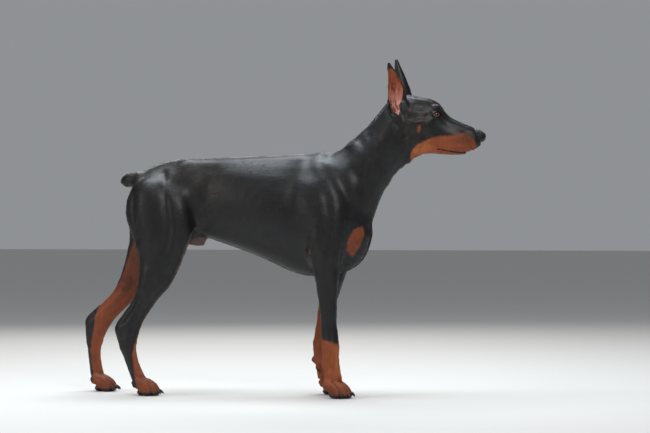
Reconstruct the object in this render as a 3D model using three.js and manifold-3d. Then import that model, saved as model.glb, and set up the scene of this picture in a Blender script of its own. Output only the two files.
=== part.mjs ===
// A standing Doberman Pinscher, life size, with cropped ears and a docked tail.
// Millimetres, +Z up, +X towards the nose, +Y towards the dog's left side.
// The body is modelled whole from lofted masses, then parted with thin cuts.
import * as THREE from "three";
import { mergeVertices } from "three/addons/utils/BufferGeometryUtils.js";
import Module from "manifold-3d";

const wasm = await Module();
wasm.setup();

// Driving dimensions of the animal.
const WITHERS_HEIGHT = 700;
const BRISKET_HEIGHT = 340;
const CHEST_HALF_WIDTH = 97;
const LOIN_HALF_WIDTH = 66;
const NECK_HALF_WIDTH = 52;
const SKULL_HALF_WIDTH = 55;
const MUZZLE_HALF_WIDTH = 30;
const FORELEG_Y = 68;
const HINDLEG_Y = 71;
const EAR_THICKNESS = 4.2;
const EYEBALL_RADIUS = 12;
const LID_THICKNESS = 1.8;
const GAP = 0.3;

// Joints of each leg, [x, z]. The right legs stand square, the left ones are set further back.
const FORE_JOINTS = {
  right: { elbow: [140, 385], wrist: [168, 135], root: [176, 40] },
  left: { elbow: [137, 385], wrist: [114, 138], root: [131, 40] },
};
const HIND_JOINTS = {
  right: { hip: [-370, 590], knee: [-296, 375], hock: [-424, 182], root: [-388, 42] },
  left: { hip: [-370, 590], knee: [-376, 365], hock: [-556, 192], root: [-554, 42] },
};

// Where each paw stands: the middle of its heel pad, how far it turns out, and its size.
const PAWS = {
  fore_right: { x: 178, y: -FORELEG_Y, turn: -26, length: 0.97, width: 1 },
  fore_left: { x: 133, y: FORELEG_Y, turn: 8, length: 1, width: 1 },
  hind_right: { x: -383, y: -HINDLEG_Y, turn: -8, length: 0.95, width: 0.9 },
  hind_left: { x: -551, y: HINDLEG_Y, turn: 5, length: 0.93, width: 0.9 },
};

const COAT = new THREE.MeshStandardMaterial({ color: 0x121214, roughness: 0.42 });
const RUST = new THREE.MeshStandardMaterial({ color: 0x9a4a24, roughness: 0.55 });
const LEATHER = new THREE.MeshStandardMaterial({ color: 0x17171a, roughness: 0.35 });
const HORN = new THREE.MeshStandardMaterial({ color: 0x1c1a18, roughness: 0.3 });
const IRIS = new THREE.MeshStandardMaterial({ color: 0x2a150c, roughness: 0.05 });

// Meshes and solids

// A three.js geometry as a solid, with its faces turned out.
function solid(geometry) {
  const bare = geometry.clone();
  bare.deleteAttribute("normal");
  bare.deleteAttribute("uv");
  const merged = mergeVertices(bare, 1e-4);
  const vertProperties = new Float32Array(merged.attributes.position.array);
  const triVerts = new Uint32Array(merged.index.array);
  const body = () => new wasm.Manifold(new wasm.Mesh({ numProp: 3, vertProperties, triVerts }));
  const made = body();
  if (made.volume() > 0) return made;
  for (let i = 0; i < triVerts.length; i += 3) {
    [triVerts[i + 1], triVerts[i + 2]] = [triVerts[i + 2], triVerts[i + 1]];
  }
  return body();
}

// Moves every vertex of a geometry to where shape(vertex) says.
function warp(geometry, shape) {
  const places = geometry.attributes.position;
  const v = new THREE.Vector3();
  for (let i = 0; i < places.count; i++) {
    const p = shape(v.fromBufferAttribute(places, i));
    places.setXYZ(i, p.x, p.y, p.z);
  }
  return geometry;
}

const join = (solids) => wasm.Manifold.union(solids);

// A value on the smooth curve through evenly spaced numbers; s runs from 0 to their count less 1.
function along(numbers, s) {
  const i = Math.min(Math.floor(s), numbers.length - 2);
  const t = s - i;
  const b = numbers[i];
  const c = numbers[i + 1];
  const a = numbers[i - 1] ?? 2 * b - c;
  const d = numbers[i + 2] ?? 2 * c - b;
  return b + 0.5 * t * (c - a + t * (2 * a - 5 * b + 4 * c - d + t * (3 * (b - c) + d - a)));
}

// A round power of a cosine or sine: 2 is an ellipse, more is boxier, less is pointed.
const bulge = (c, power) => Math.sign(c) * Math.abs(c) ** (2 / power);

// A closed body through stations. Each station is a slice between two outline points of the side view:
// [front x, front z, back x, back z, centre y, half width, front power, back power].
// grow thickens it all round, and side mirrors it.
function loft(stations, { sides = 20, rings = 24, side = 1, grow = 0 } = {}) {
  const column = (k, standard) => stations.map((station) => station[k] ?? standard);
  const columns = [0, 1, 2, 3, 4, 5].map((k) => column(k));
  const powers = [column(6, 2), column(7, 2)];
  const steps = stations.length - 1;
  return solid(
    warp(new THREE.SphereGeometry(1, sides, rings), (v) => {
      const polar = Math.acos(THREE.MathUtils.clamp(v.y, -1, 1));
      const s = (steps * polar) / Math.PI;
      const [fx, fz, bx, bz, y, wide] = columns.map((numbers) => along(numbers, s));
      const depth = Math.hypot(fx - bx, fz - bz) / 2;
      const turn = Math.atan2(v.z, v.x);
      const end = Math.sin(polar) < 1e-6 ? 0 : 1;
      const front = Math.sin(turn);
      const power = along(front > 0 ? powers[0] : powers[1], s);
      const out = end * bulge(front, power) * (1 + grow / depth);
      const across = end * bulge(Math.cos(turn), power) * (wide + grow);
      return new THREE.Vector3(
        (fx + bx) / 2 + (out * (fx - bx)) / 2,
        side * (y + across),
        (fz + bz) / 2 + (out * (fz - bz)) / 2,
      );
    }),
  );
}

// A round-ended mass: an ellipsoid, turned about X, Y and Z in degrees.
function mass(at, radii, turns = [0, 0, 0], detail = 9) {
  const geometry = new THREE.SphereGeometry(1, detail, Math.round(detail * 0.7));
  geometry.scale(...radii);
  const [rx, ry, rz] = turns.map(THREE.MathUtils.degToRad);
  geometry.rotateX(rx).rotateY(ry).rotateZ(rz).translate(...at);
  return solid(geometry);
}

const mirrored = ([x, y, z], side) => [x, y * side, z];

// A box between two corners.
function block(low, high) {
  const size = low.map((v, i) => high[i] - v);
  const centre = low.map((v, i) => (high[i] + v) / 2);
  return solid(new THREE.BoxGeometry(...size).translate(...centre));
}

// Torso: rib cage, loin, pelvis and forechest in one, from the rump forwards.
function torso() {
  const ribs = CHEST_HALF_WIDTH;
  const loin = LOIN_HALF_WIDTH;
  const slice = (x, top, bottom, wide, topPower, bottomPower) => [
    x, top, x, bottom, 0, wide, topPower, bottomPower,
  ];
  return loft(
    [
      slice(-421, 616, 570, 14, 2, 2),
      slice(-414, 632, 548, 36, 2, 2),
      slice(-392, 647, 526, 57, 2, 2),
      slice(-345, 668, 500, 69, 2, 2),
      slice(-295, 679, 476, 72, 2.1, 2.1),
      slice(-245, 683, 462, loin + 2, 2.2, 2.2),
      slice(-195, 684, 447, loin, 2.2, 2.1),
      slice(-145, 686, 431, loin + 5, 2.1, 2),
      slice(-95, 688, 413, loin + 14, 2, 1.9),
      slice(-45, 690, 394, ribs - 8, 1.9, 1.85),
      slice(5, 692, 371, ribs - 2, 1.85, 1.8),
      slice(50, 694, 351, ribs, 1.8, 1.75),
      slice(95, 695, BRISKET_HEIGHT + 1, ribs, 1.75, 1.75),
      slice(128, WITHERS_HEIGHT, BRISKET_HEIGHT, ribs - 2, 1.65, 1.75),
      slice(155, 697, BRISKET_HEIGHT + 2, ribs - 6, 1.6, 1.75),
      slice(185, 678, 350, ribs - 12, 1.7, 1.8),
      slice(215, 640, 361, ribs - 20, 1.8, 1.9),
      slice(240, 600, 379, ribs - 33, 2, 2),
      slice(258, 560, 407, ribs - 49, 2, 2),
      slice(269, 528, 443, 30, 2, 2),
      slice(275, 502, 468, 12, 2, 2),
    ],
    { sides: 20, rings: 28 },
  );
}

// Neck: arched along the crest, deep at the base, clean at the throat.
function neck() {
  const wide = NECK_HALF_WIDTH;
  return loft(
    [
      [112, 664, 246, 450, 0, wide + 10, 1.8, 2],
      [148, 690, 274, 492, 0, wide + 20, 1.75, 2],
      [184, 704, 292, 542, 0, wide + 11, 1.8, 2],
      [219, 731, 311, 584, 0, wide + 4, 1.85, 2],
      [249, 758, 332, 620, 0, wide, 1.9, 2],
      [279, 789, 357, 646, 0, wide - 1, 1.9, 2],
      [306, 822, 384, 664, 0, wide + 1, 2, 2],
      [328, 846, 404, 688, 0, wide - 4, 2, 2],
      [350, 848, 414, 712, 0, wide - 16, 2, 2],
    ],
    { sides: 18, rings: 12 },
  );
}

// Head

const EYE = [463, 29, 799];
const EYE_GAZE = { azimuth: 62, rise: 5 };

// Skull and upper muzzle in one, from the nape to the lip under the nose.
function skull() {
  const brain = SKULL_HALF_WIDTH;
  const snout = MUZZLE_HALF_WIDTH;
  return loft(
    [
      [326, 838, 318, 790, 0, 22, 2, 2],
      [338, 850, 322, 762, 0, brain - 15, 2, 2],
      [360, 858, 338, 732, 0, brain - 6, 2.1, 1.9],
      [388, 858, 362, 708, 0, brain - 2, 2.3, 1.8],
      [420, 852, 396, 696, 0, brain - 2, 2.5, 1.8],
      [448, 846, 428, 700, 0, brain - 8, 2.5, 2],
      [470, 833, 452, 701, 0, snout + 10, 2.3, 2.3],
      [486, 810, 472, 700, 0, snout + 5, 2.2, 2.7],
      [501, 794, 490, 697, 0, snout + 2.5, 2.3, 3],
      [527, 781, 514, 694, 0, snout, 2.4, 3.2],
      [554, 770, 543, 694, 0, snout - 2.5, 2.5, 3],
      [577, 760, 566, 701, 0, snout - 6, 2.4, 2.6],
      [590, 752, 582, 711, 0, snout - 12, 2.2, 2.2],
      [596, 742, 590, 720, 0, snout - 21, 2, 2],
    ],
    { sides: 18, rings: 22 },
  );
}

// Lower jaw: narrower than the lips that hang over it.
function jaw() {
  const slice = (x, top, bottom, wide) => [x, top, x, bottom, 0, wide, 2, 2.4];
  return loft(
    [
      slice(384, 712, 668, 20),
      slice(402, 718, 681, 34),
      slice(430, 722, 692, 30),
      slice(460, 722, 690, 26),
      slice(490, 720, 687.5, 23),
      slice(518, 718, 687, 21),
      slice(540, 714, 688.5, 18),
      slice(554, 706, 693.5, 10),
    ],
    { sides: 10, rings: 8 },
  );
}

// Cheek bone, jaw muscle, brow and upper lip on one side, each only just proud of the skull.
function headMasses(side) {
  return [
    mass(mirrored([414, 37, 772], side), [56, 18, 28], [0, 10, -side * 8]),
    mass(mirrored([400, 27, 738], side), [46, 20, 38]),
    mass(mirrored([456, 24, 818], side), [22, 13.5, 13]),
    mass(mirrored([508, 19, 712], side), [54, 11, 15], [0, 2, 0]),
  ];
}

// The hollow at the root of the ear cup.
const earHollow = (side) => mass(mirrored([357, 53, 822], side), [15, 13, 26]);

// The place, turn and outline of one eye's opening.
function eyeFrame(side) {
  const gaze = new THREE.Vector3().setFromSphericalCoords(
    1,
    THREE.MathUtils.degToRad(90 - EYE_GAZE.rise),
    THREE.MathUtils.degToRad(EYE_GAZE.azimuth),
  );
  const out = new THREE.Vector3(gaze.z, side * gaze.x, gaze.y);
  const up = new THREE.Vector3(-0.18, 0, 1);
  const ahead = new THREE.Vector3().crossVectors(up, out).normalize();
  up.crossVectors(out, ahead).normalize();
  return new THREE.Matrix4().makeBasis(ahead, up, out).setPosition(...mirrored(EYE, side));
}

function eyeball(side, grow = 0) {
  return solid(
    new THREE.SphereGeometry(EYEBALL_RADIUS + grow, 10, 7).translate(...mirrored(EYE, side)),
  );
}

// The almond between the lids, as a bar pointing out of the eye.
function lidOpening(side) {
  const half = 12.5;
  const almond = new THREE.Shape();
  almond.moveTo(-half, -1);
  almond.quadraticCurveTo(0, 9.5, half, 0.5);
  almond.quadraticCurveTo(0, -9, -half, -1);
  const bar = new THREE.ExtrudeGeometry(almond, { depth: 30, bevelEnabled: false, curveSegments: 6 });
  return solid(bar.applyMatrix4(eyeFrame(side)));
}

// Nose leather, with a comma nostril on each side.
function noseLeather(grow = 0) {
  return loft(
    [
      [562, 757, 564, 741, 0, 9, 2, 2],
      [570, 759, 570, 731, 0, 15, 2.3, 2.2],
      [583, 756, 580, 724, 0, 17.5, 2.5, 2.3],
      [593, 751, 590, 723, 0, 16, 2.4, 2.3],
      [599, 746, 597, 728, 0, 11, 2.2, 2],
      [601, 741, 600, 735, 0, 4, 2, 2],
    ],
    { sides: 12, rings: 8, grow },
  );
}

function nostril(side) {
  return join([
    mass(mirrored([599, 9.5, 738], side), [9, 3.6, 4.4], [0, 12, side * 18], 8),
    mass(mirrored([592, 16.5, 734.5], side), [9, 4, 1.7], [0, 22, -side * 12], 8),
  ]);
}

// The line of the mouth: a thin blade through the muzzle, kept to the skin by the core.
function mouthLine() {
  const lip = new THREE.SplineCurve(
    [[462, 704], [478, 699], [503, 696.5], [528, 694], [545, 697], [560, 705], [574, 713]].map(
      ([x, z]) => new THREE.Vector2(x, z),
    ),
  ).getPoints(8);
  const blade = new THREE.Shape([
    ...lip.map((p) => new THREE.Vector2(p.x, p.y + 1)),
    ...lip.reverse().map((p) => new THREE.Vector2(p.x, p.y - 1)),
  ]);
  const sheet = new THREE.ExtrudeGeometry(blade, { depth: 90, bevelEnabled: false });
  sheet.rotateX(Math.PI / 2).translate(0, 45, 0);
  const core = loft(
    [
      [450, 760, 450, 660, 0, 30],
      [480, 760, 480, 660, 0, 26.5],
      [510, 760, 510, 660, 0, 24.5],
      [540, 760, 540, 660, 0, 21.5],
      [562, 760, 562, 660, 0, 16],
      [574, 760, 574, 660, 0, 10],
    ],
    { sides: 10, rings: 6 },
  );
  return solid(sheet).subtract(core);
}

// How each ear is carried: the left one is held a little higher and further forward.
const EAR_CARRIAGE = {
  right: { raise: 0, setIn: 0, forward: 0 },
  left: { raise: 15, setIn: 6, forward: 7 },
};

// Ear: a cropped upright cup that opens sideways. Rows run from the base to the tip:
// [height, rear edge x, front edge x, y of the edges, depth of the cup].
const EAR_ROWS = [
  [790, 346, 374, 52, 11],
  [806, 334, 388, 55, 19],
  [830, 328, 388, 54, 23],
  [858, 328, 382, 52, 21],
  [884, 328, 372, 50, 17],
  [908, 328, 359, 49, 12],
  [930, 327, 346, 49, 7],
  [947, 327, 335, 50, 2.5],
];

// One ear, its tip raised, set in and tipped forward by the given amounts.
function ear(side, { raise, setIn, forward }) {
  const columns = [0, 1, 2, 3, 4].map((k) => EAR_ROWS.map((row) => row[k]));
  const steps = EAR_ROWS.length - 1;
  const [base, tip] = [EAR_ROWS[2][0], EAR_ROWS[steps][0]];
  return solid(
    warp(new THREE.BoxGeometry(1, 1, 1, 8, 1, 9), (v) => {
      const [z, rear, front, edge, cup] = columns.map((numbers) => along(numbers, (v.z + 0.5) * steps));
      const swing = v.x * Math.PI * 0.92;
      const half = (front - rear) / 2;
      const thick = EAR_THICKNESS * (0.55 + 0.45 * Math.cos(v.x * Math.PI)) * (0.6 + 0.4 * (0.5 - v.z));
      const out = v.y * thick;
      const high = Math.max(0, (z - base) / (tip - base));
      return new THREE.Vector3(
        (front + rear) / 2 + Math.sin(swing) * (half - out) + forward * high,
        side * (edge - setIn * high - Math.cos(swing) * (cup - out)),
        z + raise * high * high,
      );
    }),
  );
}

// Legs

// Carries a slice of the square leg to another pose: each bone turns and stretches with its two joints.
function posed(slice, bone, from, to) {
  if (!bone) return slice;
  const [a, b] = bone.map((joint) => new THREE.Vector2(...from[joint]));
  const [c, d] = bone.map((joint) => new THREE.Vector2(...to[joint]));
  const was = b.clone().sub(a);
  const now = d.clone().sub(c);
  const reach = now.length() / was.length();
  const carry = (x, z) => {
    const p = new THREE.Vector2(x, z).sub(a).rotateAround(new THREE.Vector2(), -was.angle());
    p.x *= reach;
    return p.rotateAround(new THREE.Vector2(), now.angle()).add(c);
  };
  const front = carry(slice[0], slice[1]);
  const back = carry(slice[2], slice[3]);
  return [front.x, front.y, back.x, back.y, ...slice.slice(4)];
}

// Foreleg from the top of the shoulder blade to inside the paw.
// Each row: bone, front x and z, back x and z, centre y, half width.
const FOREARM = ["elbow", "wrist"];
const PASTERN = ["wrist", "root"];
const FORELEG_ROWS = [
  [null, 130, 690, 104, 686, 24, 8],
  [null, 166, 662, 88, 640, 42, 19],
  [null, 194, 612, 86, 588, 58, 28],
  [null, 211, 560, 90, 532, 67, 34],
  [null, 217, 508, 98, 478, 71, 36],
  [null, 212, 458, 102, 432, 72, 35],
  [null, 204, 412, 104, 398, 72, 33],
  [null, 197, 372, 116, 358, 71, 30.5],
  [FOREARM, 195, 335, 124, 330, 69, 28],
  [FOREARM, 192, 305, 127, 300, 68, 25],
  [FOREARM, 188, 277, 133, 272, 68, 22.5],
  [FOREARM, 188, 248, 135, 243, 68, 20],
  [FOREARM, 188, 220, 138, 217, 68, 18.5],
  [FOREARM, 190, 192, 139, 190, 68, 18],
  [FOREARM, 194, 164, 141, 162, 68, 19.5],
  [FOREARM, 196, 144, 141, 138, 68, 20.5],
  [PASTERN, 195, 122, 142, 116, 68, 19.5],
  [PASTERN, 195, 102, 145, 96, 68, 18],
  [PASTERN, 197, 78, 148, 74, 68, 18.5],
  [PASTERN, 202, 56, 150, 50, 68, 21],
  [PASTERN, 204, 36, 154, 26, 68, 18],
];

function foreleg(side, joints) {
  const rows = FORELEG_ROWS.map(([bone, ...slice]) => posed(slice, bone, FORE_JOINTS.right, joints));
  const [wx, wz] = joints.wrist;
  return join([
    loft(rows, { sides: 12, rings: 22, side }),
    mass(mirrored([wx - 23, FORELEG_Y, wz - 38], side), [8, 9, 10], [0, 0, 0], 8),
  ]);
}

// Hind leg from the croup to inside the paw, with the rows written the same way.
const THIGH = ["hip", "knee"];
const SHANK = ["knee", "hock"];
const INSTEP = ["hock", "root"];
const HINDLEG_ROWS = [
  [null, -316, 646, -368, 640, 40, 10],
  [null, -274, 604, -402, 612, 52, 32],
  [null, -246, 562, -427, 578, 58, 41],
  [THIGH, -229, 520, -436, 540, 60, 44],
  [THIGH, -228, 478, -434, 505, 61, 44],
  [THIGH, -239, 445, -421, 472, 62, 42],
  [THIGH, -251, 414, -408, 440, 64, 39],
  [THIGH, -265, 380, -399, 412, 66, 35],
  [SHANK, -280, 344, -393, 378, 68, 31],
  [SHANK, -292, 320, -392, 346, 70, 28],
  [SHANK, -310, 300, -395, 318, 71, 26],
  [SHANK, -329, 279, -401, 297, 71, 23.5],
  [SHANK, -345, 258, -413, 270, 71, 21.5],
  [SHANK, -362, 234, -432, 245, 71, 20],
  [SHANK, -376, 212, -450, 221, 71, 19.5],
  [INSTEP, -387, 184, -465, 200, 71, 20],
  [INSTEP, -393, 163, -463, 178, 71, 20.5],
  [INSTEP, -396, 138, -452, 144, 71, 18.5],
  [INSTEP, -396, 112, -441, 114, 71, 17],
  [INSTEP, -389, 88, -430, 88, 71, 16.5],
  [INSTEP, -380, 68, -421, 66, 71, 17.5],
  [INSTEP, -369, 48, -412, 44, 71, 19.5],
  [INSTEP, -360, 34, -409, 26, 71, 17],
];

function hindleg(side, joints) {
  const rows = HINDLEG_ROWS.map(([bone, ...slice]) => posed(slice, bone, HIND_JOINTS.right, joints));
  return loft(rows, { sides: 12, rings: 26, side });
}

// Paws

// The four toes of a paw: how far across, how far ahead the tip reaches, and how they spread.
const TOES = [
  { name: "inner", across: -24, ahead: 40, spread: -7 },
  { name: "mid_inner", across: -9, ahead: 54, spread: -2 },
  { name: "mid_outer", across: 9, ahead: 54, spread: 2 },
  { name: "outer", across: 24, ahead: 40, spread: 7 },
];

// From a paw's own frame, heel at the origin and toes along +X, to where it stands.
function pawMatrix(paw) {
  return new THREE.Matrix4()
    .makeTranslation(paw.x, paw.y, 0)
    .multiply(new THREE.Matrix4().makeRotationZ(THREE.MathUtils.degToRad(paw.turn)))
    .multiply(new THREE.Matrix4().makeScale(paw.length, paw.width, 1));
}

const placed = (body, matrix) => body.transform(matrix.elements.slice());

function toeMatrix(toe) {
  return new THREE.Matrix4()
    .makeTranslation(0, toe.across, 0)
    .multiply(new THREE.Matrix4().makeRotationZ(THREE.MathUtils.degToRad(toe.spread)));
}

// One arched toe with its pad; its tip is at [ahead, 0].
function toeSolid(toe) {
  const tip = toe.ahead;
  const arch = loft(
    [
      [tip - 64, 50, tip - 70, 26, 0, 7, 2, 2],
      [tip - 52, 52, tip - 56, 22, 0, 10, 2, 2],
      [tip - 36, 50, tip - 40, 16, 0, 10.5, 2, 2],
      [tip - 21, 44, tip - 27, 2, 0, 10, 2.1, 2],
      [tip - 7, 33, tip - 15, -3, 0, 9.5, 2.2, 2.2],
      [tip + 1, 19, tip - 5, 0, 0, 8.5, 2.2, 2],
      [tip + 4, 12, tip + 1, 5, 0, 5, 2, 2],
    ],
    { sides: 8, rings: 8 },
  );
  return placed(arch, toeMatrix(toe));
}

function claw(toe, grow = 0) {
  const tip = toe.ahead;
  return placed(
    loft(
      [
        [tip - 7, 20, tip - 7, 12, 0, 2, 2, 2],
        [tip + 1, 20, tip - 1, 11, 0, 3.1, 2, 2],
        [tip + 8, 16.5, tip + 5, 8.5, 0, 2.7, 2, 2],
        [tip + 13, 11, tip + 10, 6, 0, 1.9, 2, 2],
        [tip + 15.5, 6, tip + 14, 3.5, 0, 0.8, 2, 2],
      ],
      { sides: 6, rings: 5, grow },
    ),
    toeMatrix(toe),
  );
}

function pawFlesh() {
  const heel = [
    mass([2, 0, 9], [17, 19, 10.5], [0, 0, 0], 10),
    mass([8, 0, 30], [26, 26, 19], [0, 18, 0], 10),
  ];
  return join([...TOES.map(toeSolid), ...heel]);
}

// Dewclaw, on the inner side of each fore pastern: a small toe and its claw.
function dewclaw(side, joints, grow = 0) {
  const [wx, wz] = joints.wrist;
  const x = wx - 6;
  const z = wz - 62;
  const inner = FORELEG_Y - 19;
  const toe = mass(mirrored([x, inner + 2, z + 4], side), [8, 6, 12], [0, 12, 0], 10);
  const nail = loft(
    [
      [x + 3, z + 2, x - 2, z + 1, inner - 1, 2, 2, 2],
      [x + 5, z - 5, x - 1, z - 6, inner - 2, 2.6, 2, 2],
      [x + 8, z - 11, x + 3, z - 12, inner - 1.5, 1.9, 2, 2],
      [x + 9.5, z - 15, x + 7.5, z - 15.5, inner - 1, 0.8, 2, 2],
    ],
    { sides: 6, rings: 5, side, grow },
  );
  return { toe, nail };
}

// Tail stump and the soft parts under the belly

function tail() {
  return loft(
    [
      [-372, 648, -384, 592, 0, 17, 2, 2],
      [-396, 645, -410, 594, 0, 23, 2, 2],
      [-418, 643, -428, 597, 0, 23, 2, 2],
      [-438, 641, -445, 597, 0, 21.5, 2, 2],
      [-453, 634, -457, 601, 0, 17.5, 2, 2],
      [-464, 625, -465, 610, 0, 9, 2, 2],
    ],
    { sides: 12, rings: 9 },
  );
}

function underBelly() {
  const sheath = loft(
    [
      [-304, 478, -308, 444, 0, 12],
      [-274, 472, -279, 436, 0, 17],
      [-243, 464, -248, 428, 0, 17],
      [-219, 451, -226, 423, 0, 13.5],
      [-205, 441, -211, 427, 0, 6],
    ],
    { sides: 10, rings: 8 },
  );
  const ridge = mass([-212, 0, 464], [44, 12, 12], [0, 13, 0]);
  const pouch = [-11, 11].map((y) => mass([-366, y, 476], [24, 15, 27], [0, 24, 0]));
  return join([sheath, ridge, ...pouch]);
}

// Cutting up

// A region with a side-view outline of [x, z] points, across the whole animal or one side of it.
function sideRegion(outline, y0 = -400, y1 = 400) {
  const shape = new THREE.Shape(outline.map(([x, z]) => new THREE.Vector2(x, z)));
  const bar = new THREE.ExtrudeGeometry(shape, { depth: y1 - y0, bevelEnabled: false });
  return solid(bar.rotateX(Math.PI / 2).translate(0, y1, 0));
}

// A region with a front-view outline of [distance out, z] points, from x0 to x1 on one side.
function frontRegion(outline, side, x0, x1) {
  const shape = new THREE.Shape(outline.map(([y, z]) => new THREE.Vector2(y, z)));
  const bar = new THREE.ExtrudeGeometry(shape, { depth: x1 - x0, bevelEnabled: false });
  bar.applyMatrix4(
    new THREE.Matrix4().makeBasis(
      new THREE.Vector3(0, 1, 0),
      new THREE.Vector3(0, 0, 1),
      new THREE.Vector3(1, 0, 0),
    ),
  );
  return solid(bar.translate(x0, 0, 0).scale(1, side, 1));
}

const largest = (body) =>
  body.decompose().reduce((best, piece) => (piece.volume() > best.volume() ? piece : best));

const pieces = new Map();

// Parts a region from the body that is left. The body then backs away by the gap, along back.
function part(name, body, region, back) {
  pieces.set(name, body.intersect(region));
  const away = region.translate(back.map((v) => v * GAP * 1.3));
  return body.subtract(join([region, away]));
}

const SIDES = { right: -1, left: 1 };
const below = block([-900, -300, -90], [900, 300, 0]);

let body = join([
  torso(),
  neck(),
  skull(),
  jaw(),
  tail(),
  underBelly(),
  ...Object.entries(SIDES).flatMap(([name, side]) => [
    ...headMasses(side),
    mass(mirrored(EYE, side), Array(3).fill(EYEBALL_RADIUS + LID_THICKNESS), [0, 0, 0], 12),
    ear(side, EAR_CARRIAGE[name]),
    foreleg(side, FORE_JOINTS[name]),
    dewclaw(side, FORE_JOINTS[name]).toe,
    hindleg(side, HIND_JOINTS[name]),
  ]),
  ...Object.values(PAWS).map((paw) => placed(pawFlesh(), pawMatrix(paw))),
]).subtract(below);

body = part(
  "tail",
  body,
  sideRegion([[-400, 700], [-404, 652], [-423, 596], [-425, 594], [-520, 594], [-520, 700]], -60, 60),
  [1, 0, 0.3],
);

for (const [name, side] of Object.entries(SIDES)) {
  body = part(
    `foreleg_${name}`,
    body,
    frontRegion([[3, -10], [3, 305], [35, 343], [125, 445], [260, 445], [260, -10]], side, 20, 300),
    [0, -0.7 * side, 0.7],
  );
  body = part(
    `hindleg_${name}`,
    body,
    frontRegion([[18, -10], [18, 455], [125, 577], [260, 577], [260, -10]], side, -720, -214),
    [0.7, -0.7 * side, 0.7],
  );
}

body = part(
  "head",
  body,
  sideRegion([[300, 1040], [305, 872], [318, 842], [387, 660], [400, 600], [700, 600], [700, 1040]]),
  [-0.9, 0, -0.4],
);
body = part(
  "neck",
  body,
  sideRegion([[110, 785], [166, 694], [284, 486], [420, 486], [420, 900], [110, 900]]),
  [-0.8, 0, -0.5],
);

// Paws part from their legs just above the toes.
for (const [name, paw] of Object.entries(PAWS)) {
  const [pair, side] = name.split("_");
  const leg = pieces.get(`${pair}leg_${side}`);
  const top = pair === "fore" ? 56 : 52;
  const region = block([paw.x - 90, -200, -10], [paw.x + 120, 200, top]);
  pieces.set(`${pair}leg_${side}`, part(`paw_${name}`, leg, region, [0, 0, 1]));
}

// Ears, eyes, nose and mouth part from the head.
let head = pieces.get("head");
for (const [name, side] of Object.entries(SIDES)) {
  head = part(
    `ear_${name}`,
    head,
    frontRegion([[12, 1040], [12, 872], [36, 853], [50, 832], [60, 806], [64, 786], [110, 780], [110, 1040]],
      side, 290, 402),
    [0, -0.8 * side, -0.6],
  );
  head = head.subtract(join([lidOpening(side), eyeball(side, GAP), earHollow(side)]));
  pieces.set(`eye_${name}`, eyeball(side));
}
head = head.subtract(join([noseLeather(GAP), mouthLine()]));
pieces.set("nose", noseLeather().subtract(join([nostril(-1), nostril(1)])));
pieces.set("head", head);

pieces.set("torso", body);

// Claws, each seated in its toe.
for (const [name, paw] of Object.entries(PAWS)) {
  const matrix = pawMatrix(paw);
  let foot = pieces.get(`paw_${name}`);
  for (const toe of TOES) {
    foot = foot.subtract(placed(claw(toe, GAP), matrix));
    pieces.set(`claw_${name}_${toe.name}`, placed(claw(toe), matrix));
  }
  pieces.set(`paw_${name}`, foot);
}
for (const [name, side] of Object.entries(SIDES)) {
  const leg = pieces.get(`foreleg_${name}`);
  pieces.set(`foreleg_${name}`, leg.subtract(dewclaw(side, FORE_JOINTS[name], GAP).nail));
  pieces.set(`dewclaw_${name}`, dewclaw(side, FORE_JOINTS[name]).nail);
}

// The finished animal, centred over the ground it stands on

function materialOf(name) {
  if (name.startsWith("claw") || name.startsWith("dewclaw")) return HORN;
  if (name.startsWith("paw")) return RUST;
  if (name.startsWith("eye")) return IRIS;
  return name === "nose" ? LEATHER : COAT;
}

const dog = new THREE.Group();
for (const [name, piece] of pieces) {
  const { numProp, vertProperties, triVerts } = largest(piece).getMesh();
  const count = vertProperties.length / numProp;
  const places = new Float32Array(count * 3);
  for (let i = 0; i < count; i++) {
    places.set(vertProperties.subarray(i * numProp, i * numProp + 3), i * 3);
  }
  const geometry = new THREE.BufferGeometry();
  geometry.setAttribute("position", new THREE.BufferAttribute(places, 3));
  geometry.setIndex(new THREE.BufferAttribute(new Uint32Array(triVerts), 1));
  geometry.computeVertexNormals();
  const mesh = new THREE.Mesh(geometry, materialOf(name));
  mesh.name = name;
  dog.add(mesh);
}

const bounds = new THREE.Box3().setFromObject(dog);
const centre = bounds.getCenter(new THREE.Vector3());
dog.position.set(-centre.x, -centre.y, -bounds.min.z);

export default dog;
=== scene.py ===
import bmesh
import bpy
import math
import numpy as np
from mathutils import Matrix, Vector
from mathutils.bvhtree import BVHTree


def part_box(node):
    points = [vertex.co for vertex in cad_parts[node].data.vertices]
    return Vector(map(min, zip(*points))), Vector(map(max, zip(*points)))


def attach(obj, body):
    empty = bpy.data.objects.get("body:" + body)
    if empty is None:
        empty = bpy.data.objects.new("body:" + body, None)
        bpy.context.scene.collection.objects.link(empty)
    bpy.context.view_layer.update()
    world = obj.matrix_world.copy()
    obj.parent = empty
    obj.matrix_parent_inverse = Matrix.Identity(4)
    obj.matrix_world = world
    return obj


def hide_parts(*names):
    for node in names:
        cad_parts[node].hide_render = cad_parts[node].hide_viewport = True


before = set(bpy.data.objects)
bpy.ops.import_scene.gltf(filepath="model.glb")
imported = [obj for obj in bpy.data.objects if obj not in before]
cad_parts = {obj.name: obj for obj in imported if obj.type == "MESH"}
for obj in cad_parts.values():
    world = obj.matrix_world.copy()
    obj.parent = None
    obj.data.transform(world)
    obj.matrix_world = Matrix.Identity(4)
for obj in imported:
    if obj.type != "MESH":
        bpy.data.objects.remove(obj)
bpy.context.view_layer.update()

# Camera
# A long lens to the dog's right, a little ahead of it, level with the middle of the body. Places on the dog
# are measured from its own origin in millimetres: x to the nose, y to its left and z up from the ground.
EYE_PLACE = (463.0, 29.0, 799.0)
MIDDLE_OF_VIEW = (139, 0, 513)
YAW = math.radians(11)
CAMERA_DISTANCE = 7.0
FOCAL_PIXELS = 2450
PHOTO_WIDTH = 650
SENSOR = 36.0
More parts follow.
